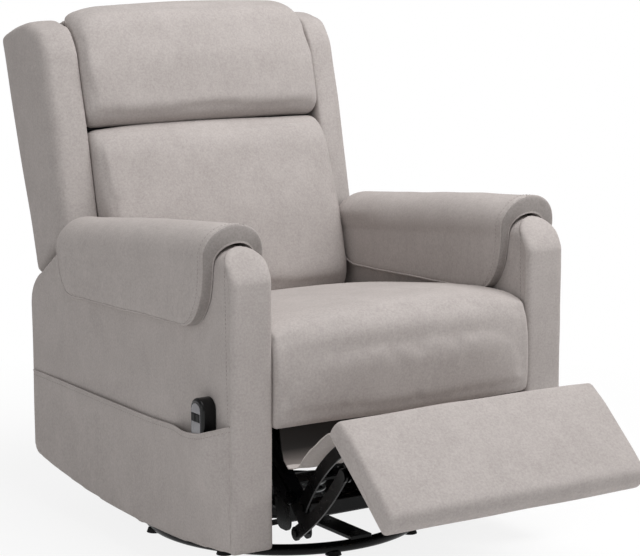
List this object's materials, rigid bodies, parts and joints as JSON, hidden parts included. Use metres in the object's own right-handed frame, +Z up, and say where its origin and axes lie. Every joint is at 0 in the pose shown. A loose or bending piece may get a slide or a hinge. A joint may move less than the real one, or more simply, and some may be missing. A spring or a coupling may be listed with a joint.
{
  "type": "swivel recliner",
  "caption": "Upholstered power recliner with winged back, saddle arm pads, side pocket and handset, on a rocking swivel ring base, footrest raised on a link mechanism.",
  "frame": {"origin": "on the floor below the swivel axis", "axes": "+Z up, the chair faces -Y at rest, +X to the sitter's left"},
  "size_m": [0.7894, 1.3199, 1.0187],
  "materials": {
    "upholstery": "napped microfibre",
    "black_steel": "black powder coat",
    "bare_steel": "zinc plated",
    "frame_wood": "raw plywood",
    "foot_rubber": "matt",
    "webbing": "woven elastic",
    "black_plastic": "fine texture",
    "key_plastic": "satin"
  },
  "bodies": {
    "base": {"base_ring": "black_steel", "base_spider": "black_steel", "base_feet": "foot_rubber", "swivel_race": "bare_steel", "swivel_spindle": "bare_steel"},
    "turntable": {"swivel_plate": "black_steel", "swivel_collar": "bare_steel", "rocker_brackets": "black_steel", "rocker_shaft": "bare_steel", "rocker_springs": "bare_steel"},
    "back": {"back_stiles": "frame_wood", "back_rail_top": "frame_wood", "back_rail_bottom": "frame_wood", "back_webbing": "webbing", "back_cover": "upholstery", "back_spacers": "frame_wood", "wing_left": "upholstery", "wing_right": "upholstery", "lumbar_cushion": "upholstery", "head_cushion": "upholstery", "hinge_bolts": "bare_steel"},
    "lift": {"lift_links": "black_steel", "drive_tube": "black_steel", "drive_arm": "black_steel"},
    "ottoman": {"ottoman_links": "black_steel"},
    "footrest": {"foot_brackets": "black_steel", "foot_board": "frame_wood", "footrest_pad": "upholstery"},
    "steady": {"steady_links": "black_steel"},
    "control": {"control_links": "black_steel"},
    "rod": {"push_rod": "bare_steel"},
    "handset": {"handset_case": "black_plastic"},
    "open_key": {"handset_button_open": "key_plastic"},
    "close_key": {"handset_button_close": "key_plastic"},
    "chair": {"arm_boards": "frame_wood", "arm_brackets": "black_steel", "arm_cover_left": "upholstery", "arm_cover_right": "upholstery", "arm_front_left": "upholstery", "arm_front_right": "upholstery", "arm_pad_left": "upholstery", "arm_pad_right": "upholstery", "chassis_ties": "black_steel", "drive_motor": "black_plastic", "gap_cover": "upholstery", "guide_tube": "black_steel", "hinge_plates": "black_steel", "motor_bracket": "black_steel", "rear_skirt": "upholstery", "rocker_rail_left": "black_steel", "rocker_rail_right": "black_steel", "seat_cushion": "upholstery", "seat_front_rail": "frame_wood", "seat_rear_rail": "frame_wood", "seat_side_rails": "frame_wood", "seat_springs": "bare_steel", "side_plate_left": "black_steel", "side_plate_right": "black_steel", "side_pocket": "upholstery", "spring_bars": "black_steel"}
  },
  "joints": [
    {"name": "swivel", "type": "hinge", "parent": "base", "child": "turntable", "pos_m": [0, 0, 0.04], "axis": [0, 0, 1], "continuous": true},
    {"name": "rock", "type": "hinge", "parent": "turntable", "child": "chair", "pos_m": [0, 0, 0.126], "axis": [-1, 0, 0], "range_deg": [-5, 5], "stiffness_Nm_per_rad": 900, "deforming": ["rocker_springs"]},
    {"name": "back_recline", "type": "hinge", "parent": "chair", "child": "back", "pos_m": [0, 0.215, 0.345], "axis": [-1, 0, 0], "range_deg": [0, 38]},
    {"name": "footrest_lift", "type": "hinge", "parent": "chair", "child": "lift", "pos_m": [0, -0.2914, 0.2723], "axis": [-1, 0, 0], "range_deg": [-61.2, 41.2], "deforming": ["gap_cover"]},
    {"name": "ottoman_swing", "type": "hinge", "parent": "lift", "child": "ottoman", "pos_m": [0, -0.4303, 0.1586], "axis": [-1, 0, 0], "range_deg": [-54.05, 80.19]},
    {"name": "footrest_tilt", "type": "hinge", "parent": "ottoman", "child": "footrest", "pos_m": [0, -0.58505, 0.31136], "axis": [-1, 0, 0], "range_deg": [-67.98, 45.83]},
    {"name": "steady_swing", "type": "hinge", "parent": "lift", "child": "steady", "pos_m": [0, -0.4326, 0.1137], "axis": [-1, 0, 0], "range_deg": [-55.1, 81.76]},
    {"name": "control_swing", "type": "hinge", "parent": "chair", "child": "control", "pos_m": [0, -0.2343, 0.292], "axis": [-1, 0, 0], "range_deg": [-57.78, 38.97]},
    {"name": "rod_slide", "type": "slide", "parent": "chair", "child": "rod", "axis": [0, -1, 0], "range_m": [-0.0836, 0.0563]},
    {"name": "handset_lift", "type": "slide", "parent": "chair", "child": "handset", "axis": [0, 0, 1], "range_m": [0, 0.09]},
    {"name": "open_press", "type": "slide", "parent": "handset", "child": "open_key", "axis": [1, 0, 0], "range_m": [0, 0.001], "stiffness_N_per_m": 800},
    {"name": "close_press", "type": "slide", "parent": "handset", "child": "close_key", "axis": [1, 0, 0], "range_m": [0, 0.001], "stiffness_N_per_m": 800}
  ],
  "couplings": [
    {"joint": "ottoman_swing", "follows": "footrest_lift", "ratio": -1.307},
    {"joint": "footrest_tilt", "follows": "footrest_lift", "ratio": 1.1075},
    {"joint": "steady_swing", "follows": "footrest_lift", "ratio": -1.3326},
    {"joint": "control_swing", "follows": "footrest_lift", "ratio": 0.9409},
    {"joint": "rod_slide", "follows": "footrest_lift", "m_per_rad": 0.0781}
  ]
}
